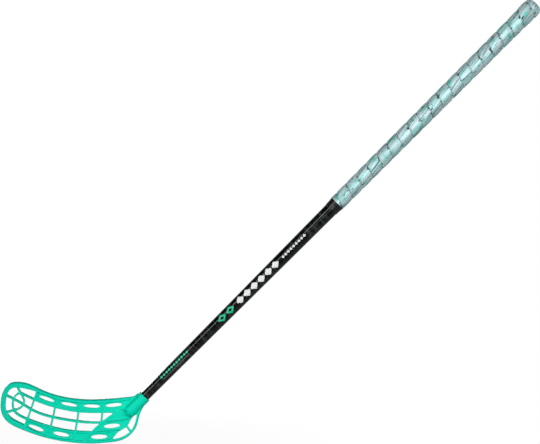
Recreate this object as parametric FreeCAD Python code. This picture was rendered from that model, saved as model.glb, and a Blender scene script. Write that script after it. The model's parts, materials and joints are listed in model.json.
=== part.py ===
import FreeCAD, Part
import math
import os

from FreeCAD import Vector

# A floorball stick in playing position: the sole of the blade flat on the floor, the shaft leaning
# back to the right. +X runs from the toe towards the butt, +Z is up, +Y is the concave side of the
# blade. The origin is the middle of the grip, on the axis of the shaft. Millimetres and degrees.

# Shaft
lie_angle = 45.1            # shaft above the floor
shaft_length = 956.0
shaft_wall = 1.3
tip_diameter = 16.8
tip_straight = 46.0         # parallel stretch at the blade end
neck_diameter = 23.8        # where the grip starts
butt_diameter = 26.6

# Butt cap
cap_diameter = 28.9
cap_skirt = 32.0            # how far the cap reaches down outside the shaft
cap_lead = 20.0             # tapered stretch at the mouth of the skirt
cap_lip = 0.25              # wall at the mouth of the skirt
cap_end = 4.0               # thickness of the closed end
cap_crown = 6.0             # rounding of the closed end
spigot_length = 18.0
spigot_wall = 1.6
fit_clearance = 0.05        # a push fit, on the radius
tape_bridge = 8.0           # below the cap, where the grip climbs from the shaft onto it

# Grip: a tape wound in a left-hand helix over a narrower sticky strip
grip_length = 463.0         # from the butt end of the shaft
tape_pitch = 23.7
tape_gap = 0.6              # open groove between two turns
tape_edge = 0.75            # thickness at the edges
tape_crown = 1.1            # thickness along the middle
tape_tip = 2.0              # width at which the tapered ends of a strip stop
sticky_width = 15.0
sticky_thickness = 0.2
layer_clearance = 0.06      # between the layers of the grip, and under them
finishing_width = 15.0      # black tape that closes the lower end of the grip
finishing_thickness = 0.35

# Blade, drawn from the centre of the socket's mouth
blade_reach = 243.0         # mouth to toe
blade_drop = 79.0           # mouth to sole
hook_depth = 12.0           # how far the toe bends back
hook_start = 44.0           # where the bend starts, from the mouth
panel_thickness = 3.2
rib_thickness = 5.6
rim_thickness = 7.6
rim_bevel = 1.8             # slope along the outside of the rim
heel_thickness = 4.6        # plate between the socket and the windows
rib_width = 3.3
top_rim = 5.0
toe_rim = 8.5
toe_foot_rim = 9.0          # lower part of the toe
sole_rim = 4.6
heel_rim = 4.4
slot_length = 27.0
upper_slot_height = 5.8
lower_slot_height = 7.0

# Socket of the blade
socket_diameter = 21.1
socket_depth = 38.0
socket_floor = 2.0
socket_round = 8.5
socket_mouth_round = 0.8
neck_fall = 3.4             # from the mouth down to where the blade's edges run into the socket
edge_root = 2.5             # start of the blade's edge, inside the side of the socket

# Screws through the back of the socket into the shaft
screw_places = {"blade_screw_upper": 12.0, "blade_screw_lower": 27.0}  # below the mouth
screw_diameter = 2.9
screw_core = 2.1
screw_length = 7.5
screw_thread = 1.0
screw_point = 1.6
head_diameter = 5.6
head_height = 2.0
head_round = 0.7
recess_width = 0.8
recess_length = 3.2
recess_depth = 1.1
screw_clearance = 0.15
seat_depth = 1.0            # flat seat sunk into the socket

steps_per_turn = 12
ring_segments = 4           # straight facets across the width of a wound strip

# Places along the shaft, from its blade end
mouth_place = socket_depth
grip_start = shaft_length - grip_length
cap_mouth = shaft_length - cap_skirt
butt_end = shaft_length + cap_end
hand_place = (grip_start + butt_end) / 2
tape_lift = 2 * layer_clearance + sticky_thickness   # underside of the grip tape, over the shaft

axis = Vector(math.cos(math.radians(lie_angle)), 0, math.sin(math.radians(lie_angle)))
across = Vector(-axis.z, 0, axis.x)
mouth = axis * (mouth_place - hand_place)
far = 3 * blade_reach       # longer than anything that is cut with it


# Stand a piece that was made along +Z on the axis of the shaft.
def lean(shape):
    shape.rotate(Vector(0, 0, 0), Vector(0, 1, 0), 90 - lie_angle)
    shape.translate(axis * -hand_place)
    return shape


# A turned piece from (radius, height) corners.
def turned(corners):
    points = [Vector(radius, 0, height) for radius, height in corners]
    outline = Part.makePolygon(points + points[:1])
    return Part.Face(outline).revolve(Vector(0, 0, 0), Vector(0, 0, 1), 360)


# Straight-line value between (place, value) pairs.
def between(place, pairs):
    for (low, low_value), (high, high_value) in zip(pairs, pairs[1:]):
        if place <= high:
            share = max(0, place - low) / (high - low)
            return low_value + share * (high_value - low_value)
    return pairs[-1][1]


# Radii along the shaft and along the outside of the cap, by place
shaft_profile = [(0, tip_diameter / 2), (tip_straight, tip_diameter / 2),
                 (grip_start, neck_diameter / 2), (cap_mouth - tape_bridge, butt_diameter / 2),
                 (shaft_length, butt_diameter / 2)]
cap_profile = [(cap_mouth, butt_diameter / 2 + fit_clearance + cap_lip),
               (cap_mouth + cap_lead, cap_diameter / 2), (butt_end, cap_diameter / 2)]


# Radius of the surface that the grip is wound on.
def wound_on(place):
    return between(place, shaft_profile[:-1] + cap_profile)


def shaft_tube():
    outside = [(radius, place) for place, radius in shaft_profile]
    inside = [(radius - shaft_wall, place) for place, radius in reversed(shaft_profile)]
    tube = lean(turned(outside + inside))
    for below_mouth in screw_places.values():
        tube = tube.cut(screw_bore(below_mouth))
    return tube


def butt_cap():
    bore = butt_diameter / 2 + fit_clearance
    spigot = butt_diameter / 2 - shaft_wall - fit_clearance
    corners = [(bore, cap_mouth)] + [(radius, place) for place, radius in cap_profile]
    corners += [(0, butt_end), (0, shaft_length), (spigot - spigot_wall, shaft_length),
                (spigot - spigot_wall, shaft_length - spigot_length),
                (spigot, shaft_length - spigot_length), (spigot, shaft_length),
                (bore, shaft_length)]
    cap = turned(corners)
    rim = [edge for edge in cap.Edges if abs(edge.BoundBox.ZMin - butt_end) < 1e-3
           and edge.BoundBox.ZMax - edge.BoundBox.ZMin < 1e-3]
    return lean(cap.makeFillet(cap_crown, rim))


# One line along a wound strip, at a share of its width and lifted off the surface. The strip lies
# lower above the helix, and narrows where the square ends cut it.
def strip_line(angles, low, high, lower, width, share, lift):
    points = []
    for angle in angles:
        edge = low + tape_pitch * (angle / (2 * math.pi) - 1) + lower
        bottom = max(edge, low)
        top = min(edge + width, high)
        place = bottom + share * (top - bottom)
        radius = wound_on(place) + lift
        points.append(Vector(radius * math.cos(-angle), radius * math.sin(-angle), place))
    return points


# Straight lines drawn between two curves that share their knots.
def ruled_face(one, two):
    surface = Part.BSplineSurface()
    surface.buildFromPolesMultsKnots([one.getPoles(), two.getPoles()], [2, 2], one.getMultiplicities(),
                                     [0, 1], one.getKnots(), False, False, 1, one.Degree)
    return surface.toShape()


# A flat strip wound in one unbroken left-hand helix from low to high, its ends cut square to the
# axis. Lifts are (share of the width, inner, outer) heights over the surface.
def wound_strip(low, high, lower, width, lifts):
    def turn_at(place):
        return 2 * math.pi * (1 + place / tape_pitch)

    first = turn_at(tape_tip - lower - width)
    last = turn_at(high - low - tape_tip - lower)
    count = round((last - first) / (2 * math.pi) * steps_per_turn)
    angles = [first + (last - first) * step / count for step in range(count + 1)]
    inner = [strip_line(angles, low, high, lower, width, share, lift) for share, lift, _ in lifts]
    outer = [strip_line(angles, low, high, lower, width, share, lift) for share, _, lift in lifts]
    rails = inner + outer[::-1]
    curves = []
    for points in rails:
        curve = Part.BSplineCurve()
        curve.interpolate(Points=points, Parameters=angles)
        curves.append(curve)
    faces = [ruled_face(one, two) for one, two in zip(curves, curves[1:] + curves[:1])]
    for end in (0, -1):
        corners = [points[end] for points in rails]
        faces.append(Part.Face(Part.makePolygon(corners + corners[:1])))
    shell = Part.makeShell(faces)
    shell.sewShape()
    strip = Part.Solid(shell)
    if strip.Volume < 0:
        strip.reverse()
    return strip, rails


# The least distance from one turn of a strip to the next, on the points of its edges.
def least_gap(rails):
    top = [point for rail in rails[ring_segments:ring_segments + 2] for point in rail]
    bottom = [point for rail in (rails[0], rails[-1]) for point in rail]
    count = len(rails[0])
    gaps = []
    for number, point in enumerate(top):
        for other, low_point in enumerate(bottom):
            ahead = other % count - number % count
            if steps_per_turn / 2 < ahead < 1.5 * steps_per_turn:
                gaps.append(point.distanceToPoint(low_point))
    return min(gaps)


def grip_tape():
    lifts = []
    for number in range(ring_segments + 1):
        share = number / ring_segments
        swell = math.sin(math.pi * share) * (tape_crown - tape_edge)
        lifts.append((share, tape_lift, tape_lift + tape_edge + swell))
    tape, rails = wound_strip(grip_start, butt_end - cap_crown, 0, tape_pitch - tape_gap, lifts)
    print("grip tape, least gap between turns:", round(least_gap(rails), 2))
    return lean(tape)


def grip_sticky_strip():
    lifts = [(number / ring_segments, layer_clearance, layer_clearance + sticky_thickness)
             for number in range(ring_segments + 1)]
    inset = (tape_pitch - tape_gap - sticky_width) / 2
    strip, rails = wound_strip(grip_start, butt_end - cap_crown, inset, sticky_width, lifts)
    print("sticky strip, least gap between turns:", round(least_gap(rails), 2))
    return lean(strip)


# A few turns of tape that climb from the shaft to the face of the grip.
def finishing_tape():
    low = grip_start - finishing_width
    foot, top = [wound_on(place) + layer_clearance for place in (low, grip_start)]
    grip_face = wound_on(grip_start) + tape_lift + tape_edge
    corners = [(foot, low), (foot + finishing_thickness, low), (grip_face, grip_start), (top, grip_start)]
    return lean(turned(corners))


# A place on the blade, level and upright from the centre of the socket's mouth. The layout is
# drawn for this reach and drop, and follows the driving sizes.
drawn_reach = 243.0
drawn_drop = 79.0


def spot(level, upright):
    return mouth + Vector(level * blade_reach / drawn_reach, 0, upright * blade_drop / drawn_drop)


# Where the blade's edge starts or ends: inside the wall of the socket, below its mouth.
def socket_side(side):
    return mouth - axis * neck_fall + across * (side * (socket_diameter / 2 - edge_root))


def smooth_edge(points):
    curve = Part.BSplineCurve()
    curve.interpolate(Points=points)
    return curve.toShape()


# Directions square to a smooth curve at its points, in the plane of the blade.
def square_to(points):
    curve = Part.BSplineCurve()
    curve.interpolate(Points=points)
    directions = []
    for point in points:
        tangent = curve.tangent(curve.parameter(point))[0]
        directions.append(Vector(tangent.z, 0, -tangent.x))
    return directions


# The flat region between two smooth edges.
def region_between(one, two):
    sides = [smooth_edge(one), Part.makeLine(one[-1], two[-1]), smooth_edge(two),
             Part.makeLine(two[0], one[0])]
    return Part.Face(Part.Wire(Part.__sortEdges__(sides)))


# A rib's outline: a band of even width along a smooth line.
def rib_outline(points, width):
    line = [spot(*point) for point in points]
    sides = [[point + square * (side * width / 2) for point, square in zip(line, square_to(line))]
             for side in (1, -1)]
    return region_between(*sides)


top_edge = [(-13, 4), (-17, 1), (-24, -0.9), (-41, -2.8), (-74, -5.5), (-91.1, -6), (-108.2, -5.2),
            (-141.4, -0.4), (-174.8, 10.8)]
toe_edge = [(-199.1, 20.9), (-212.4, 22.7), (-226.7, 20.2), (-237.2, 9.3), (-242.4, -10.3), (-241.9, -25.3)]
toe_foot_edge = [(-233.8, -40.7), (-210.6, -54.5)]
sole_edge = [(-175.2, -67), (-124.3, -77), (-91.1, -79.1), (-58, -76.9)]
heel_edge = [(-37.8, -72.7), (-22.4, -62.3), (-12.9, -47.2), (-8.8, -31.1), (-4, -20.6)]

# Ribs as (level, upright) points on their middle lines
upright_ribs = [
    [(-179.4, 10.8), (-185.5, -6.7), (-191.6, -23.8), (-196.7, -38.5), (-203.8, -54)],
    [(-145.9, -3), (-150.5, -19.9), (-154, -36), (-157.6, -51.5), (-161.1, -68.6)],
    [(-109.7, -8.1), (-111, -26.2), (-113.5, -42.7), (-116.3, -58.9), (-118.7, -75.6)],
    [(-69.4, -8), (-71, -25), (-72.9, -44)]]
long_ribs = [
    [(-237.9, 2.8), (-220.9, -5.4), (-204.2, -14.4), (-190.4, -22.8), (-153.5, -35.4), (-113, -42),
     (-78, -44), (-60, -42.3), (-28, -38.5)],
    [(-207.3, 4.3), (-185.3, -6), (-150.8, -17.5), (-111.2, -24.9), (-73, -26.2), (-50, -26)],
    [(-207.3, 4.3), (-215.8, 1.6), (-220.1, -4.5), (-221.9, -13.1), (-219.5, -25), (-209.3, -33.7),
     (-196.1, -39.4), (-157.5, -51.9), (-116.2, -59.1), (-90.1, -60), (-59.4, -58.8), (-41, -54.1),
     (-31, -48.7)]]
toe_spokes = [
    [(-213.4, 18.1), (-208.3, 4.3), (-202.7, -9.6), (-204.2, -14.9)],
    [(-204, -14.4), (-207.3, -18.7), (-218.7, -24.2), (-236, -30.4)]]
heel_ribs = [
    [(-50.5, -28.7), (-89.1, -60.4), (-103.8, -76.8)],
    [(-14, -29), (-25.3, -39.1), (-30.3, -48), (-41.9, -56.2), (-55.9, -73)],
    [(-31, -49.3), (-21.9, -61.9)]]

# Outline of the thicker plate at the heel
heel_plate_line = [(-26, -4), (-30, -9), (-33, -15.5), (-39.5, -20.5), (-46, -23.6), (-50.5, -28.7),
                   (-89.1, -60.4), (-59.4, -58.8), (-41, -54.1), (-31, -48.7), (-25.3, -39.1), (-14, -29),
                   (-4, -10), (-12, -1)]

# Slots as middle (level, upright) and tilt
upper_slots = [(-164, -4.9, -19), (-126.6, -14, -10.5), (-88.4, -16.7, -2), (-51.9, -14.9, 6)]
lower_slots = [(-182.2, -54, -20), (-139.9, -63.8, -10.6), (-76.3, -67.8, 2), (-55, -49.6, 6)]


def blade_edge():
    outline = top_edge + toe_edge + toe_foot_edge + sole_edge + heel_edge
    line = [socket_side(1)] + [spot(*point) for point in outline]
    line.append(socket_side(-1))
    widths = [top_rim] * (len(top_edge) + 1) + [toe_rim] * len(toe_edge)
    widths += [toe_foot_rim] * len(toe_foot_edge)
    widths += [sole_rim] * len(sole_edge) + [heel_rim] * (len(heel_edge) + 1)
    return line, widths


# The blade's edge moved inwards by a share of its rim.
def inside_edge(share):
    line, widths = blade_edge()
    return [point - square * (share * width)
            for point, square, width in zip(line, square_to(line), widths)]


def inside_region(share):
    line = inside_edge(share)
    closed = [smooth_edge(line), Part.makeLine(line[-1], line[0])]
    return Part.Face(Part.Wire(closed))


# The parts of the blade that have no panel. Ribs and rim cross them afterwards.
def open_regions():
    upper, lower = long_ribs[1], long_ribs[2]
    first_rib, slant, heel = upright_ribs[0], heel_ribs[0], heel_ribs[1]
    outside = far / 2
    toe = [spot(*point) for point in first_rib]
    toe += [spot(-outside, -outside), spot(-outside, outside)]
    middle = [spot(*point) for point in upper[1:-1]] + [spot(*slant[0]), spot(*slant[1])]
    middle += [spot(*point) for point in reversed(lower[6:9])]
    heel_side = [spot(*point) for point in heel]
    heel_side += [spot(heel[-1][0], -outside), spot(outside, -outside), spot(outside, heel[0][1])]
    return [Part.Face(Part.makePolygon(points + points[:1])) for points in (toe, middle, heel_side)]


def slot_region(place, height):
    level, upright, tilt = place
    middle = spot(level, upright)
    turn = math.radians(tilt)
    long_end = middle + Vector(math.cos(turn), 0, math.sin(turn)) * (slot_length / 2)
    short_end = middle + Vector(-math.sin(turn), 0, math.cos(turn)) * (height / 2)
    outline = Part.Ellipse(long_end, short_end, middle).toShape()
    return Part.Face(Part.Wire(outline))


def pushed_through(region):
    solid = region.extrude(Vector(0, far, 0))
    solid.translate(Vector(0, -far / 2, 0))
    return solid


# A curved slab of even thickness: flat at the heel, bent back in an arc towards the toe.
def bent_slab(thickness):
    bend_at = mouth.x - hook_start
    run = blade_reach - hook_start
    radius = (run ** 2 + hook_depth ** 2) / (2 * hook_depth)
    sweep = 1.2 * math.asin(run / radius)
    ahead = mouth.x + blade_reach

    def on_arc(share, side):
        reach = radius - side * thickness / 2
        turn = share * sweep
        return Vector(bend_at - reach * math.sin(turn), radius - reach * math.cos(turn))

    sides = []
    for side in (1, -1):
        sides.append(Part.Arc(*[on_arc(share, side) for share in (0, 0.5, 1)]).toShape())
        sides.append(Part.makeLine(on_arc(0, side), Vector(ahead, side * thickness / 2)))
    sides.append(Part.makeLine(on_arc(1, 1), on_arc(1, -1)))
    sides.append(Part.makeLine(Vector(ahead, thickness / 2), Vector(ahead, -thickness / 2)))
    slab = Part.Face(Part.Wire(Part.__sortEdges__(sides))).extrude(Vector(0, 0, far))
    slab.translate(Vector(0, 0, mouth.z - far / 2))
    return slab


def without_slots(region):
    for places, height in ((upper_slots, upper_slot_height), (lower_slots, lower_slot_height)):
        for place in places:
            region = region.cut(slot_region(place, height))
    return region


def panels():
    region = inside_region(0.5)
    for opening in open_regions():
        region = region.cut(opening)
    return pushed_through(without_slots(region)).common(bent_slab(panel_thickness))


def heel_plate():
    corners = [spot(*point) for point in heel_plate_line]
    region = Part.Face(Part.makePolygon(corners + corners[:1]))
    return pushed_through(without_slots(region)).common(bent_slab(heel_thickness))


def ribs():
    lines = upright_ribs + long_ribs + toe_spokes + heel_ribs
    regions = [rib_outline(line, rib_width) for line in lines]
    web = regions[0].multiFuse(regions[1:]).removeSplitter().common(inside_region(0.5))
    return pushed_through(web).common(bent_slab(rib_thickness))


def rim():
    band = pushed_through(region_between(inside_edge(0), inside_edge(1))).common(bent_slab(rim_thickness))
    outline = smooth_edge(inside_edge(0))
    outer = []
    for edge in band.Edges:
        middle = edge.valueAt((edge.FirstParameter + edge.LastParameter) / 2)
        drawn = Part.Vertex(Vector(middle.x, 0, middle.z))
        if edge.Length > 2 * rim_thickness and outline.distToShape(drawn)[0] < 1e-3:
            outer.append(edge)
    return band.makeChamfer(rim_bevel, outer)


# The socket as a solid plug along the shaft, before it is bored.
def socket_body():
    length = socket_depth + socket_floor + socket_round / 2
    body = Part.makeCylinder(socket_diameter / 2, length, Vector(0, 0, mouth_place - length))
    ends = {edge.BoundBox.ZMin: edge for edge in body.Edges if edge.Closed
            and edge.BoundBox.ZMax - edge.BoundBox.ZMin < 1e-3}
    body = body.makeFillet(socket_round, [ends[min(ends)]])
    mouth_edge = [edge for edge in body.Edges if edge.BoundBox.ZMin > mouth_place - 1e-3]
    return lean(body.makeFillet(socket_mouth_round, mouth_edge))


# Clearance hole for one screw through the back of the socket and of the shaft.
def screw_bore(below_mouth):
    radius = screw_diameter / 2 + screw_clearance
    return Part.makeCylinder(radius, socket_diameter, mouth - axis * below_mouth, Vector(0, 1, 0))


def screw_seat():
    return socket_diameter / 2 - seat_depth


def blade():
    body = panels().multiFuse([heel_plate(), ribs(), rim(), socket_body()])
    bore = Part.makeCylinder(tip_diameter / 2 + fit_clearance, socket_depth + socket_mouth_round)
    body = body.cut(lean(bore))
    for below_mouth in screw_places.values():
        start = mouth - axis * below_mouth + Vector(0, screw_seat(), 0)
        seat = Part.makeCylinder(head_diameter / 2 + 2 * screw_clearance, socket_diameter, start,
                                 Vector(0, 1, 0))
        body = body.cut(seat).cut(screw_bore(below_mouth))
    return body.removeSplitter()


# A pan-head screw, its thread as even ridges, its axis square to the blade.
def blade_screw(below_mouth):
    head = [(head_diameter / 2, 0), (head_diameter / 2, head_height - head_round),
            (head_diameter / 2 - head_round, head_height), (0, head_height)]
    thread_start = screw_point - screw_length
    ridges = int(-thread_start / screw_thread)
    shank = [(0, -screw_length)]
    for number in range(ridges):
        low = thread_start + number * screw_thread
        shank += [(screw_core / 2, low), (screw_diameter / 2, low + screw_thread / 2)]
    shank += [(screw_core / 2, thread_start + ridges * screw_thread), (screw_core / 2, 0)]
    body = turned(head + shank)
    slot = Part.makeBox(recess_length, recess_width, recess_depth + head_height,
                        Vector(-recess_length / 2, -recess_width / 2, head_height - recess_depth))
    for quarter in (0, 90):
        cutter = slot.copy()
        cutter.rotate(Vector(0, 0, 0), Vector(0, 0, 1), quarter)
        body = body.cut(cutter)
    body.rotate(Vector(0, 0, 0), Vector(1, 0, 0), -90)
    body.translate(mouth - axis * below_mouth + Vector(0, screw_seat(), 0))
    return body


nodes = {"shaft_tube": shaft_tube(), "butt_cap": butt_cap(), "grip_tape": grip_tape(),
         "grip_sticky_strip": grip_sticky_strip(), "finishing_tape": finishing_tape(), "blade": blade()}
for name, below_mouth in screw_places.items():
    nodes[name] = blade_screw(below_mouth)

os.makedirs("parts", exist_ok=True)
for name, shape in nodes.items():
    shape.exportStep("parts/" + name + ".step")
    print(name, "valid" if shape.isValid() else "NOT VALID", len(shape.Solids), "solid",
          round(shape.Volume / 1000, 2), "cm3")
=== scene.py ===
import json
import math

import bpy
from mathutils import Matrix, Vector


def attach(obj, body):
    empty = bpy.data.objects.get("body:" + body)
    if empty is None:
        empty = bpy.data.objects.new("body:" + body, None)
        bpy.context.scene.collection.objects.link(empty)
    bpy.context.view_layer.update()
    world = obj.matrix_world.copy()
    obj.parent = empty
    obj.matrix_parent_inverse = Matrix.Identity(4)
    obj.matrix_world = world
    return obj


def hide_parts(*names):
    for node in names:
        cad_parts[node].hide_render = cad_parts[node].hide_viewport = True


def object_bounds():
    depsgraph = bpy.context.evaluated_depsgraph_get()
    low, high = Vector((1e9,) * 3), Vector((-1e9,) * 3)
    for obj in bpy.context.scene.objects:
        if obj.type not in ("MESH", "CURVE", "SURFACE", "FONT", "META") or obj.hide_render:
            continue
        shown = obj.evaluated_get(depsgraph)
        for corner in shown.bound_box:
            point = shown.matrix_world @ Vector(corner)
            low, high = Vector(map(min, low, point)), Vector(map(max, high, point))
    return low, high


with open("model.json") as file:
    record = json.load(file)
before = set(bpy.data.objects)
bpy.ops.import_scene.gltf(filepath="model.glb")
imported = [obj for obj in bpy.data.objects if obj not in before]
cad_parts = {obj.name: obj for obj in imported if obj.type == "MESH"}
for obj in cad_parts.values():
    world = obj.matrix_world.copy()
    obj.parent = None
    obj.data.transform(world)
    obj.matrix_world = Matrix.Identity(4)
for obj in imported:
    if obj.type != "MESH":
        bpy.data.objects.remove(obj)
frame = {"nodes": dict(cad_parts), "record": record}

cadLow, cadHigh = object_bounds()
gripMount = frame["record"]["mounts"][0]
shaftAxis = Vector(gripMount["axis"])
crossAxis = Vector((-shaftAxis.z, 0, shaftAxis.x))   # square to the shaft, in the plane of the stick
shaftLean = math.atan2(shaftAxis.x, shaftAxis.z)     # away from upright, towards +X
handPlace = 0.7265                                   # the origin, along the shaft from its blade end
print("frame loaded, box", [round(v, 4) for v in cadLow], [round(v, 4) for v in cadHigh])


def clearSelection():
    if bpy.context.object and bpy.context.object.mode != "OBJECT":
        bpy.ops.object.mode_set(mode="OBJECT")
    bpy.ops.object.select_all(action="DESELECT")


def pick(piece):
    clearSelection()
    piece.select_set(True)
    bpy.context.view_layer.objects.active = piece


def applyAll(piece):
    pick(piece)
    for modifier in list(piece.modifiers):
        bpy.ops.object.modifier_apply(modifier=modifier.name)


# a piece that was made upright, by its place along the shaft, goes onto the leaning shaft
def leanOnShaft(piece):
    pick(piece)
    piece.rotation_euler = (0, shaftLean, 0)
    piece.location = shaftAxis * -handPlace
    bpy.ops.object.transform_apply(location=True, rotation=True, scale=True)


# the value at a place, from pairs of place and value
def between(place, pairs):
    for (low, lowValue), (high, highValue) in zip(pairs, pairs[1:]):
        if place <= high:
            return lowValue + max(0, place - low) / (high - low) * (highValue - lowValue)
    return pairs[-1][1]


def clamped(value):
    return min(1, max(0, value))


# camera, floor and light
studio = {
    "lookAt": (-0.2776, 0, -0.1975),     # middle of the picture, in the plane of the shaft
    "distance": 2.6,
    "viewWidth": 0.9,                    # metres across the picture in that plane
    "sensor": 36,                        # millimetres
    "lamps": [                           # name, place, size, power
        ("leftSoftbox", (-2.82, -2.55, 0.1), (1.6, 1.6), 6),         # at the sides of the camera
        ("rightSoftbox", (2.27, -2.55, 0.1), (1.6, 1.6), 8),
        ("stripSoftbox", (-1.575, -2.05, 0.765), (0.2, 1.3), 21),    # the line of light on the shaft
        ("glowSoftbox", (0.304, -2.6, 0.304), (0.35, 1.0), 42),      # the sheen along the grip
        ("backSoftbox", (-2.4, 3.3, 0.1), (1.0, 1.0), 50),           # behind, out of the picture
        ("backSoftbox", (1.85, 3.3, 0.1), (1.0, 1.0), 50),
    ],
    "skyLight": 0.04,
    "skyTop": [(0.40, 1.0), (0.62, 0.12)],       # mirrored sky, by how far up it is
    "skyDepth": [(0.55, 0.10), (0.95, 1.0)],     # and from the camera's side, 0, to the far side, 1
    "standsAt": (-0.62, 0, cadLow.z),            # middle of the blade's sole
    "floorSize": 60,
    "floorFront": -0.5,                          # the floor's front edge, the room before it is dark
    "floorGap": 0.0002,
    "floorTone": (0.45, 0.45, 0.45, 1),
    "shadowFade": [(0.25, 0.96), (0.48, 1.0)],   # white of the seen floor, by metres from the sole
    "mirrorFade": [(0.05, 0.3), (0.40, 1.0)],    # and of the mirrored one, by tens of metres away
}
camera = bpy.data.cameras.new("studioCamera")
camera.sensor_width = studio["sensor"]
camera.lens = studio["sensor"] * studio["distance"] / studio["viewWidth"]
cameraObject = bpy.data.objects.new("studioCamera", camera)
bpy.context.scene.collection.objects.link(cameraObject)
cameraObject.location = Vector(studio["lookAt"]) - Vector((0, studio["distance"], 0))
cameraObject.rotation_euler = (math.pi / 2, 0, 0)
bpy.context.scene.camera = cameraObject
bpy.context.scene.view_settings.view_transform = "Standard"


# an area lamp that faces the stick, its long side along the shaft
def addSoftbox(name, place, size, power):
    lamp = bpy.data.lights.new(name, "AREA")
    lamp.shape = "RECTANGLE"
    lamp.size, lamp.size_y = size
    lamp.energy = power
    lampObject = bpy.data.objects.new(name, lamp)
    bpy.context.scene.collection.objects.link(lampObject)
    back = (Vector(place) - Vector(studio["lookAt"])).normalized()
    side = shaftAxis.cross(back).normalized()
    turn = Matrix((side, back.cross(side), back)).transposed()
    lampObject.matrix_world = Matrix.Translation(place) @ turn.to_4x4()


for lampPlan in studio["lamps"]:
    addSoftbox(*lampPlan)


# node helpers, most of them one node and its output
def calc(tree, how, *values):
    node = tree.nodes.new("ShaderNodeMath")
    node.operation = how
    for place, value in enumerate(values):
        if isinstance(value, (int, float)):
            node.inputs[place].default_value = value
        else:
            tree.links.new(value, node.inputs[place])
    return node.outputs[0]


def mixColour(tree, share, first, second, blend="MIX"):
    node = tree.nodes.new("ShaderNodeMix")
    node.data_type = "RGBA"
    node.blend_type = blend
    for place, value in ((0, share), (6, first), (7, second)):   # the sockets of a colour mix
        if isinstance(value, (int, float)):
            node.inputs[place].default_value = value
        elif isinstance(value, tuple):
            node.inputs[place].default_value = (*value, 1)
        else:
            tree.links.new(value, node.inputs[place])
    return node.outputs[2]


def ramp(tree, value, stops):
    node = tree.nodes.new("ShaderNodeValToRGB")
    while len(node.color_ramp.elements) < len(stops):
        node.color_ramp.elements.new(0.5)
    for element, (place, colour) in zip(node.color_ramp.elements, stops):
        element.position = place
        element.color = (*colour, 1) if isinstance(colour, tuple) else (colour, colour, colour, 1)
    tree.links.new(value, node.inputs[0])
    return node.outputs[0]


def noise(tree, vector, scale, detail=2, rough=0.5, distortion=0):
    node = tree.nodes.new("ShaderNodeTexNoise")
    tree.links.new(vector, node.inputs["Vector"])
    node.inputs["Scale"].default_value = scale
    node.inputs["Detail"].default_value = detail
    node.inputs["Roughness"].default_value = rough
    node.inputs["Distortion"].default_value = distortion
    return node.outputs[0]


def mapped(tree, vector, location=(0, 0, 0), rotation=(0, 0, 0), scale=(1, 1, 1)):
    node = tree.nodes.new("ShaderNodeMapping")
    tree.links.new(vector, node.inputs["Vector"])
    node.inputs["Location"].default_value = location
    node.inputs["Rotation"].default_value = rotation
    node.inputs["Scale"].default_value = scale
    return node.outputs[0]


def splitPlace(tree, vector):
    node = tree.nodes.new("ShaderNodeSeparateXYZ")
    tree.links.new(vector, node.inputs[0])
    return node.outputs


def bump(tree, shader, height, strength, distance):
    node = tree.nodes.new("ShaderNodeBump")
    node.inputs["Strength"].default_value = strength
    node.inputs["Distance"].default_value = distance
    tree.links.new(height, node.inputs["Height"])
    tree.links.new(node.outputs[0], shader.inputs["Normal"])


# one shader over another, by a share
def mixShaders(tree, share, under, over, output):
    node = tree.nodes.new("ShaderNodeMixShader")
    tree.links.new(share, node.inputs[0])
    tree.links.new(under.outputs[0], node.inputs[1])
    tree.links.new(over.outputs[0], node.inputs[2])
    tree.links.new(node.outputs[0], tree.nodes[output].inputs["Surface"])


def newFinish(name, **sockets):
    finish = bpy.data.materials.new(name)
    finish.use_nodes = True
    shader = finish.node_tree.nodes["Principled BSDF"]
    for socket, value in sockets.items():
        shader.inputs[socket.replace("_", " ")].default_value = value
    return finish, finish.node_tree, shader


def objectPlace(tree):
    return tree.nodes.new("ShaderNodeTexCoord").outputs["Object"]


# object place turned so that z runs along the shaft, from the origin towards the butt
def shaftPlace(tree):
    return mapped(tree, objectPlace(tree), rotation=(0, -shaftLean, 0))


# a wound strip's own map, metres along it and across it
def wrapPlace(tree):
    node = tree.nodes.new("ShaderNodeUVMap")
    node.uv_map = "wrap"
    return node.outputs[0]


# noise on such a map, so many to the metre along and across
def wrapNoise(tree, vector, perMetre, shift=(0, 0), detail=2):
    return noise(tree, mapped(tree, vector, location=(*shift, 0), scale=(*perMetre, 1)), 1, detail)


def apartFrom(tree, spot):
    node = tree.nodes.new("ShaderNodeVectorMath")
    node.operation = "DISTANCE"
    tree.links.new(objectPlace(tree), node.inputs[0])
    node.inputs[1].default_value = spot
    return node.outputs["Value"]


def dress(piece, finish):
    piece.data.materials.clear()
    piece.data.materials.append(finish)


# rays that see or mirror a thing, and those of them that come from the camera
def seenRays(tree):
    path = tree.nodes.new("ShaderNodeLightPath").outputs
    seen = calc(tree, "MAXIMUM", path["Is Camera Ray"], path["Is Glossy Ray"])
    return calc(tree, "MAXIMUM", seen, path["Is Transmission Ray"]), path["Is Camera Ray"]


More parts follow.
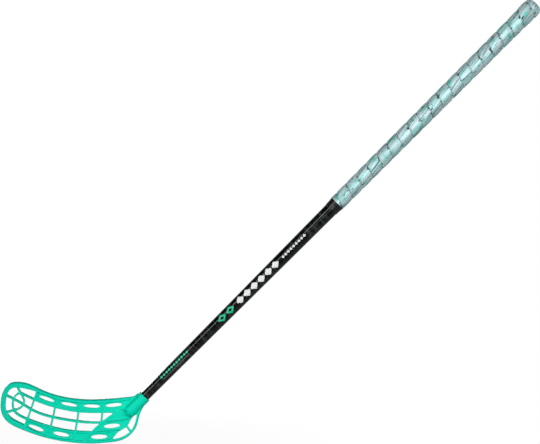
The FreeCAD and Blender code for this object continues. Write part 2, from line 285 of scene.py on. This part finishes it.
# white where it is seen, and a plain grey for light
# where it is mirrored, it has a dark room behind the camera
def makeSky():
    sky = bpy.data.worlds.new("studioSky")
    bpy.context.scene.world = sky
    sky.use_nodes = True
    tree = sky.node_tree
    plain = tree.nodes["Background"]
    plain.inputs["Color"].default_value = (1, 1, 1, 1)
    plain.inputs["Strength"].default_value = studio["skyLight"]
    white = tree.nodes.new("ShaderNodeBackground")
    towards = splitPlace(tree, tree.nodes.new("ShaderNodeTexCoord").outputs["Generated"])
    top = ramp(tree, towards[2], studio["skyTop"])
    depth = ramp(tree, calc(tree, "MULTIPLY_ADD", towards[1], 0.5, 0.5), studio["skyDepth"])
    room = mixColour(tree, 1, top, depth, "MULTIPLY")
    seen, fromCamera = seenRays(tree)
    tree.links.new(mixColour(tree, fromCamera, room, (1, 1, 1)), white.inputs["Color"])
    mixShaders(tree, seen, plain, white, "World Output")


# white but for the shadow at the blade, and where it is mirrored, whiter the further away it is
def makeFloor():
    clearSelection()
    middle = studio["floorFront"] + studio["floorSize"] / 2
    bpy.ops.mesh.primitive_plane_add(size=studio["floorSize"],
                                     location=(0, middle, cadLow.z - studio["floorGap"]))
    floor = bpy.context.object
    floor.name = "studioFloor"
    bpy.ops.object.transform_apply(location=True)
    finish, tree, shader = newFinish("paleFloor", Base_Color=studio["floorTone"], Roughness=0.9)
    glow = tree.nodes.new("ShaderNodeEmission")
    seen, fromCamera = seenRays(tree)
    shown = ramp(tree, apartFrom(tree, studio["standsAt"]), studio["shadowFade"])
    tensAway = calc(tree, "MULTIPLY", apartFrom(tree, (0, 0, 0)), 0.1)
    share = mixColour(tree, fromCamera, ramp(tree, tensAway, studio["mirrorFade"]), shown)
    mixShaders(tree, calc(tree, "MULTIPLY", seen, share), shader, glow, "Material Output")
    dress(floor, finish)


makeSky()
makeFloor()
print("studio ready")


# the grip wrap, the sticky strip under it and the finishing tape are wound alike
# in their plans, crown and edge are a strip's height in its middle and at its edges,
# lift is its gap to what it lies on, and layer is how much it rises with each turn
windPlan = {
    "frontTurn": 0.25,          # of a turn, from where the winding starts to the front
    "spareTurns": 1.5,          # wound past each end and cut off again
    "crease": math.radians(50),
}


def windStrip(name, plan, radii):
    clearSelection()
    count, pitch = plan["sectionPoints"], plan["pitch"]
    width, crown, edge = plan["width"], plan["crown"], plan["edge"]
    # the strip's section, a flat rounded loop standing in the XZ plane
    bpy.ops.mesh.primitive_circle_add(vertices=count, radius=1, fill_type="NOTHING",
                                      rotation=(math.pi / 2, 0, 0))
    strip = bpy.context.object
    strip.name = name
    bpy.ops.object.transform_apply(rotation=True)
    centre = plan["seam"] - width / 2 - pitch * windPlan["frontTurn"]
    turnsBelow = math.ceil((centre - plan["low"]) / pitch + windPlan["spareTurns"])
    across = []
    for vertex in strip.data.vertices:
        flat = math.copysign(abs(vertex.co.x) ** plan["edgeShape"], vertex.co.x)
        offset = vertex.co.z * width / 2
        across.append(offset)
        lift = plan["lift"] + edge + flat * (crown - edge if flat > 0 else edge)
        vertex.co = (1 + lift, 0, centre - pitch * turnsBelow + offset)
    wind = strip.modifiers.new("wind", "SCREW")
    wind.axis = "Z"
    wind.angle = -2 * math.pi
    wind.screw_offset = pitch
    wind.iterations = math.ceil((plan["high"] - plan["low"]) / pitch + 2 * windPlan["spareTurns"])
    wind.steps = wind.render_steps = plan["turnSteps"]
    wind.use_merge_vertices = False
    applyAll(strip)
    mesh = strip.data
    girth = 2 * math.pi * between(plan["low"], radii)
    # the strip's own map: metres along it and across it
    wrapMap = mesh.uv_layers.new(name="wrap")
    for loop in mesh.loops:
        step, spot = divmod(loop.vertex_index, count)
        wrapMap.data[loop.index].uv = (step / plan["turnSteps"] * girth, across[spot])
    # pull it in from radius 1 to the surface that it lies on
    for number, vertex in enumerate(mesh.vertices):
        spread = Vector((vertex.co.x, vertex.co.y))
        layer = plan["layer"] * number / count / plan["turnSteps"]
        lift = (spread.length - 1) * between(vertex.co.z, plan["thinning"])
        spread *= (lift + layer + between(vertex.co.z, radii)) / spread.length
        vertex.co.x, vertex.co.y = spread
    bpy.ops.object.mode_set(mode="EDIT")
    for place, side in ((plan["low"], -1), (plan["high"], 1)):
        bpy.ops.mesh.select_all(action="SELECT")
        bpy.ops.mesh.bisect(plane_co=(0, 0, place), plane_no=(0, 0, side),
                            clear_outer=True, use_fill=True)
    bpy.ops.mesh.select_all(action="SELECT")
    bpy.ops.mesh.normals_make_consistent(inside=False)
    bpy.ops.object.mode_set(mode="OBJECT")
    leanOnShaft(strip)
    pick(strip)
    bpy.ops.object.shade_smooth_by_angle(angle=windPlan["crease"])
    return strip


# radius of tube and cap under the grip, by place along the shaft
woundRadii = [(0.046, 0.0084), (0.493, 0.0119), (0.916, 0.0133), (0.924, 0.0136), (0.944, 0.01445),
              (0.954, 0.01445), (0.9555, 0.01426), (0.957, 0.01365), (0.958, 0.01292),
              (0.959, 0.01177), (0.9595, 0.01084)]

gripPlan = {
    "low": 0.4915, "high": 0.9592, "pitch": 0.0237, "seam": 0.9473,   # a seam on the front, by place
    "width": 0.0240, "crown": 0.0017, "edge": 0.0003, "lift": 0.00006,
    "thinning": [(0.947, 1), (0.957, 0.35)],     # pulled thin over the butt's end
    "edgeShape": 0.75, "layer": 0, "turnSteps": 72, "sectionPoints": 36,
}
gripWrap = windStrip("gripWrap", gripPlan, woundRadii)
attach(gripWrap, "stick")
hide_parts("grip_tape")

stickyPlan = {
    "low": 0.494, "high": 0.954, "pitch": 0.0237, "seam": 0.9413,
    "width": 0.015, "crown": 0.0002, "edge": 0.0001, "lift": 0.00006, "thinning": [(0, 1), (1, 1)],
    "edgeShape": 0.25, "layer": 0, "turnSteps": 48, "sectionPoints": 16,
}
stickyUnderlay = windStrip("stickyUnderlay", stickyPlan, woundRadii)
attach(stickyUnderlay, "stick")
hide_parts("grip_sticky_strip")

finishPlan = {
    "low": 0.4775, "high": 0.4930, "pitch": 0.0035, "seam": 0.4915,
    "width": 0.0125, "crown": 0.00022, "edge": 0.00011, "lift": 0.0001, "thinning": [(0, 1), (1, 1)],
    "edgeShape": 0.3, "layer": 0.00005, "turnSteps": 72, "sectionPoints": 24,
}
finishRadii = [(0.4775, 0.0118), (0.4850, 0.01195), (0.4895, 0.01247), (0.4930, 0.01255)]
finishWrap = windStrip("finishWrap", finishPlan, finishRadii)
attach(finishWrap, "stick")
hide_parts("finishing_tape")
print("strips wound", [len(piece.data.polygons) for piece in (gripWrap, stickyUnderlay, finishWrap)])


# blade: the moulding with its edges softened
bladePlan = {
    "merge": 0.00001, "voxel": 0.0007, "soften": 3, "smoothing": 0.5,
    # where the socket runs out into the heel plate, on the front
    "foot": -0.003, "footFront": -0.0015, "footReach": 0.015, "footFade": 0.005, "footSoften": 160,
    # painted shade in the colour, by how far a wall faces up, and from the toe to the heel
    "upperWallShade": [(0.35, 1.0), (0.85, 0.62)],
    # painted shade, darker towards the toe than at the heel
    "flow": [(-0.72, 0.87), (-0.62, 0.95), (-0.52, 1.02)],
    # moulded step lines, as x and z, on the faces of the heel
    "steps": [((-0.5500, -0.5303), (-0.5143, -0.5263)),
              ((-0.5715, -0.5475), (-0.5280, -0.5442)),
              ((-0.5252, -0.5107), (-0.5152, -0.5118)),
              ((-0.5119, -0.5160), (-0.5097, -0.5229))],
    "stepsFrom": -0.576, "stepFacing": 0.5, "stepWidth": 0.0013, "stepDepth": 0.0007,
    # painted shade along the step lines, and how sharply it rises across a line
    "stepShade": 0.55, "stepShadeGain": 2, "stepShadeStart": 0.2,
    # the upper walls lean to the front a little, but not at the socket
    "lean": 0.25, "leanClear": 0.016, "leanFade": 0.03, "bendStart": -0.530, "bend": 0.305,
}


# 1 in the middle of a step line, down to 0 at its width
def stepShare(spot, steps, width):
    share = 0
    for start, end in steps:
        start, run = Vector(start), Vector(end) - Vector(start)
        along = clamped((spot - start).dot(run) / run.length_squared)
        share = max(share, 1 - (spot - start - run * along).length / width)
    return share


def addSmoothing(piece, name, rounds, group=""):
    smooth = piece.modifiers.new(name, "SMOOTH")
    smooth.factor = bladePlan["smoothing"]
    smooth.iterations = rounds
    smooth.vertex_group = group


clearSelection()
mouldedBlade = bpy.data.objects.new("mouldedBlade", frame["nodes"]["blade"].data.copy())
bpy.context.scene.collection.objects.link(mouldedBlade)
pick(mouldedBlade)
bpy.ops.object.mode_set(mode="EDIT")
bpy.ops.mesh.select_all(action="SELECT")
bpy.ops.mesh.remove_doubles(threshold=bladePlan["merge"])
bpy.ops.object.mode_set(mode="OBJECT")
skin = mouldedBlade.modifiers.new("skin", "REMESH")
skin.mode = "VOXEL"
skin.voxel_size = bladePlan["voxel"]
addSmoothing(mouldedBlade, "soft", bladePlan["soften"])
applyAll(mouldedBlade)
# the foot of the socket is smoothed much more than the rest
foot = mouldedBlade.vertex_groups.new(name="foot")
for vertex in mouldedBlade.data.vertices:
    along = vertex.co.dot(shaftAxis) + handPlace - bladePlan["foot"]
    apart = math.hypot(along, vertex.co.dot(crossAxis))
    if vertex.co.y < bladePlan["footFront"] and apart < bladePlan["footReach"]:
        share = min(1, (bladePlan["footReach"] - apart) / bladePlan["footFade"])
        foot.add([vertex.index], share, "REPLACE")
addSmoothing(mouldedBlade, "runOut", bladePlan["footSoften"], "foot")
applyAll(mouldedBlade)
# step lines are pressed in, and a painted shade for the upper walls, the toe and the step lines is kept
# as an attribute
paintedShade = mouldedBlade.data.attributes.new("paintedShade", "FLOAT", "POINT")
facing = [vertex.normal.copy() for vertex in mouldedBlade.data.vertices]
for vertex, side in zip(mouldedBlade.data.vertices, facing):
    # painted shade: darker on walls that face up, and towards the toe
    depth = between(side.z, bladePlan["upperWallShade"]) * between(vertex.co.x, bladePlan["flow"])
    if vertex.co.x > bladePlan["stepsFrom"] and abs(side.y) > bladePlan["stepFacing"]:
        spot = Vector((vertex.co.x, vertex.co.z))
        share = stepShare(spot, bladePlan["steps"], bladePlan["stepWidth"])
        # painted shade in the step lines, over the pressed groove
        stepShaded = clamped(share * bladePlan["stepShadeGain"] - bladePlan["stepShadeStart"])
        depth *= 1 + (bladePlan["stepShade"] - 1) * stepShaded
        vertex.co.y -= math.copysign(share * bladePlan["stepDepth"], side.y)
    paintedShade.data[vertex.index].value = depth
for vertex in mouldedBlade.data.vertices:
    beside = abs(vertex.co.dot(crossAxis))
    run = max(0, bladePlan["bendStart"] - vertex.co.x)
    behind = vertex.co.y - run ** 2 * bladePlan["bend"]
    leaning = min(1, max(0, beside - bladePlan["leanClear"]) / bladePlan["leanFade"])
    vertex.co.z += bladePlan["lean"] * behind * leaning
pick(mouldedBlade)
bpy.ops.object.shade_smooth()
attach(mouldedBlade, "stick")
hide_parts("blade")
print("blade moulded", len(mouldedBlade.data.polygons))


plasticPlan = {
    "tones": [(0.3, (0.0, 0.74, 0.49)), (0.7, (0.0, 0.81, 0.55))],
    "flowStretch": (1, 1, 2.2),
    "flow": 28,                  # per metre
    "grain": 2600,
}


def turquoisePlastic():
    finish, tree, shader = newFinish("turquoisePlastic", Roughness=0.45, Specular_IOR_Level=0.10)
    place = objectPlace(tree)
    stretched = mapped(tree, place, scale=plasticPlan["flowStretch"])
    flow = noise(tree, stretched, plasticPlan["flow"], detail=3, rough=0.55, distortion=0.4)
    # painted shade from the blade's attribute, multiplied into the plastic's colour
    depth = tree.nodes.new("ShaderNodeAttribute")
    depth.attribute_name = "paintedShade"
    tone = ramp(tree, flow, plasticPlan["tones"])
    tone = mixColour(tree, 1, tone, depth.outputs["Color"], "MULTIPLY")
    tree.links.new(tone, shader.inputs["Base Color"])
    grain = noise(tree, place, plasticPlan["grain"], rough=0.6)
    bump(tree, shader, grain, strength=0.12, distance=0.0002)
    return finish


lacquerPlan = {
    "bands": (40, 40, 190),      # per metre, across and along the shaft
    "tones": [(0.44, (0.0012, 0.002, 0.0018)), (0.54, (0.009, 0.0125, 0.0118)),
              (0.68, (0.032, 0.038, 0.0365))],
    "roughness": [(0, 0.17), (1, 0.32)],         # of lacquer and of print
    "white": (0.86, 0.88, 0.88),
    "green": (0.015, 0.58, 0.30),
    "grey": (0.16, 0.17, 0.17),
    "rowSpread": 2.1,                            # at 2 the lozenges of a row would touch
    # colour, hollow, from, to, how many, half width, middle
    "rows": [
        ("white", 0, 0.256, 0.355, 6, 0.0068, -0.0012),
        ("white", 0, 0.362, 0.418, 9, 0.0024, -0.0012),
        ("green", 0.45, 0.212, 0.250, 2, 0.0066, -0.0012),
        ("green", 0, 0.078, 0.143, 11, 0.0026, -0.0030),
        ("grey", 0, 0.080, 0.141, 20, 0.0012, 0.0022),
    ],
}


def within(tree, value, low, high):
    above = calc(tree, "GREATER_THAN", value, low)
    return calc(tree, "MULTIPLY", above, calc(tree, "LESS_THAN", value, high))


# a row of lozenges along the shaft, the same on its front and its back
def lozenges(tree, along, around, hollow, low, high, count, halfWidth, middle):
    step = calc(tree, "DIVIDE", calc(tree, "SUBTRACT", along, low), (high - low) / count)
    inStep = calc(tree, "ABSOLUTE", calc(tree, "SUBTRACT", calc(tree, "FRACT", step), 0.5))
    beside = calc(tree, "ABSOLUTE", calc(tree, "SUBTRACT", around, middle))
    reach = calc(tree, "MULTIPLY_ADD", inStep, lacquerPlan["rowSpread"],
                 calc(tree, "DIVIDE", beside, halfWidth))
    return calc(tree, "MULTIPLY", within(tree, reach, hollow, 1), within(tree, along, low, high))


def blackLacquer():
    finish, tree, shader = newFinish("blackLacquer", Specular_IOR_Level=0.25)
    place = shaftPlace(tree)
    stretched = mapped(tree, place, scale=lacquerPlan["bands"])
    bands = noise(tree, stretched, 1, detail=3, rough=0.6, distortion=0.6)
    tone = ramp(tree, bands, lacquerPlan["tones"])
    x, y, z = splitPlace(tree, place)
    along = calc(tree, "ADD", z, handPlace)
    radius = calc(tree, "SQRT", calc(tree, "ADD", calc(tree, "POWER", x, 2), calc(tree, "POWER", y, 2)))
    turn = calc(tree, "ARCTAN2", x, calc(tree, "ABSOLUTE", y))
    around = calc(tree, "MULTIPLY", turn, radius)
    printed = None
    for colour, *row in lacquerPlan["rows"]:
        mask = lozenges(tree, along, around, *row)
        tone = mixColour(tree, mask, tone, lacquerPlan[colour])
        printed = mask if printed is None else calc(tree, "MAXIMUM", printed, mask)
    tree.links.new(tone, shader.inputs["Base Color"])
    tree.links.new(ramp(tree, printed, lacquerPlan["roughness"]), shader.inputs["Roughness"])
    return finish


foilPlan = {
    "streakTurn": math.radians(7),       # the print's streaks against the tape's cross direction
    "grain": (140, 4),                   # per metre, across and along a streak
    "fine": (300, 6),
    "fineShare": 0.3,
    "patch": (75, 50),
    "fleck": (300, 110),
    "seamShadeDash": (110, 20),
    "pale": (0.68, 0.79, 0.845),
    "lilac": (0.38, 0.57, 0.575),
    "mint": (0.32, 0.79, 0.72),
    "dark": (0.105, 0.255, 0.235),
    "teal": (0.05, 0.54, 0.43),
    # dark of the print's flecks, and also of the painted shade in the seams
    "inkAndSeamShade": (0.025, 0.05, 0.05),
    "streaks": [(0.34, "dark"), (0.37, "lilac"), (0.41, "pale"), (0.46, "mint"), (0.475, "dark"),
                (0.49, "pale"), (0.54, "lilac"), (0.565, "dark"), (0.59, "pale"), (0.65, "mint")],
    "tealFade": [(0.56, 0.0), (0.66, 0.6)],
    "fleckFade": [(0.67, 0.0), (0.72, 0.9)],
    "edgeFade": [(0.6, 0.0), (1.0, 1.0)],        # from the tape's middle, 0, to its edge, 1
    "edgeFlecks": 0.12,                          # more flecks towards the edge
    # painted shade in the seams between turns, towards the tape's edge, broken into dashes
    "seamShadeFade": [(0.91, 0.0), (0.98, 1.0)],
    "seamShadeDashes": [(0.44, 0.0), (0.58, 0.5)],
}


def foilGrip():
    finish, tree, shader = newFinish("foilGrip", Metallic=0.3, Roughness=0.52, Specular_IOR_Level=0.06)
    wrap = wrapPlace(tree)
    turned = mapped(tree, wrap, rotation=(0, 0, foilPlan["streakTurn"]))
    grain = wrapNoise(tree, turned, foilPlan["grain"])
    fine = wrapNoise(tree, turned, foilPlan["fine"], shift=(3, 7))
    mixed = calc(tree, "MULTIPLY_ADD", fine, foilPlan["fineShare"],
                 calc(tree, "MULTIPLY", grain, 1 - foilPlan["fineShare"]))
    tone = ramp(tree, mixed, [(place, foilPlan[name]) for place, name in foilPlan["streaks"]])
    patches = wrapNoise(tree, turned, foilPlan["patch"], shift=(1, 2))
    tone = mixColour(tree, ramp(tree, patches, foilPlan["tealFade"]), tone, foilPlan["teal"])
    beside = calc(tree, "ABSOLUTE", splitPlace(tree, wrap)[1])
    edge = calc(tree, "DIVIDE", beside, gripPlan["pitch"] / 2)
    flecks = wrapNoise(tree, turned, foilPlan["fleck"], shift=(5, 1), detail=1)
    nearEdge = ramp(tree, edge, foilPlan["edgeFade"])
    flecks = calc(tree, "MULTIPLY_ADD", nearEdge, foilPlan["edgeFlecks"], flecks)
    tone = mixColour(tree, ramp(tree, flecks, foilPlan["fleckFade"]), tone, foilPlan["inkAndSeamShade"])
    # painted shade in the seams between turns, broken into dashes
    dashes = wrapNoise(tree, wrap, foilPlan["seamShadeDash"], shift=(2, 9))
    seam = calc(tree, "MULTIPLY", ramp(tree, edge, foilPlan["seamShadeFade"]),
                ramp(tree, dashes, foilPlan["seamShadeDashes"]))
    tree.links.new(mixColour(tree, seam, tone, foilPlan["inkAndSeamShade"]), shader.inputs["Base Color"])
    bump(tree, shader, fine, strength=0.15, distance=0.0003)
    return finish


vinylPlan = {
    "pull": (60, 900),           # per metre, along and across the tape
    "tones": [(0.3, (0.002, 0.0025, 0.0025)), (0.7, (0.006, 0.007, 0.007))],
}


def blackVinyl():
    finish, tree, shader = newFinish("blackVinyl", Roughness=0.34, Specular_IOR_Level=0.4)
    pull = wrapNoise(tree, wrapPlace(tree), vinylPlan["pull"])
    tree.links.new(ramp(tree, pull, vinylPlan["tones"]), shader.inputs["Base Color"])
    bump(tree, shader, pull, strength=0.2, distance=0.0002)
    return finish


capPlan = {
    "grain": 1800,               # per metre
    "tones": [(0.3, (0.010, 0.011, 0.011)), (0.7, (0.022, 0.024, 0.024))],
}


def capPlastic():
    finish, tree, shader = newFinish("capPlastic", Roughness=0.5)
    grain = noise(tree, objectPlace(tree), capPlan["grain"], rough=0.6)
    tree.links.new(ramp(tree, grain, capPlan["tones"]), shader.inputs["Base Color"])
    bump(tree, shader, grain, strength=0.25, distance=0.0002)
    return finish


zincPlan = {
    "brush": 2400,               # per metre
    "brushStretch": (1, 0.2, 1),
    "tones": [(0.3, (0.50, 0.51, 0.52)), (0.7, (0.72, 0.72, 0.70))],
    "roughness": [(0.3, 0.22), (0.7, 0.42)],
}


def zincSteel():
    finish, tree, shader = newFinish("zincSteel", Metallic=1.0)
    stretched = mapped(tree, objectPlace(tree), scale=zincPlan["brushStretch"])
    brush = noise(tree, stretched, zincPlan["brush"], detail=3, rough=0.6)
    tree.links.new(ramp(tree, brush, zincPlan["tones"]), shader.inputs["Base Color"])
    tree.links.new(ramp(tree, brush, zincPlan["roughness"]), shader.inputs["Roughness"])
    return finish


filmPlan = {
    "fibre": 900,                # per metre
    "fibreStretch": (1, 1, 4),
    "tones": [(0.3, (0.62, 0.60, 0.52)), (0.7, (0.75, 0.73, 0.66))],
}


def stickyFilm():
    finish, tree, shader = newFinish("stickyFilm", Roughness=0.6)
    stretched = mapped(tree, objectPlace(tree), scale=filmPlan["fibreStretch"])
    fibres = noise(tree, stretched, filmPlan["fibre"], rough=0.6)
    tree.links.new(ramp(tree, fibres, filmPlan["tones"]), shader.inputs["Base Color"])
    return finish


dress(mouldedBlade, turquoisePlastic())
dress(gripWrap, foilGrip())
dress(finishWrap, blackVinyl())
dress(stickyUnderlay, stickyFilm())
dress(frame["nodes"]["shaft_tube"], blackLacquer())
dress(frame["nodes"]["butt_cap"], capPlastic())
steel = zincSteel()
dress(frame["nodes"]["blade_screw_upper"], steel)
dress(frame["nodes"]["blade_screw_lower"], steel)
print("finishes on")
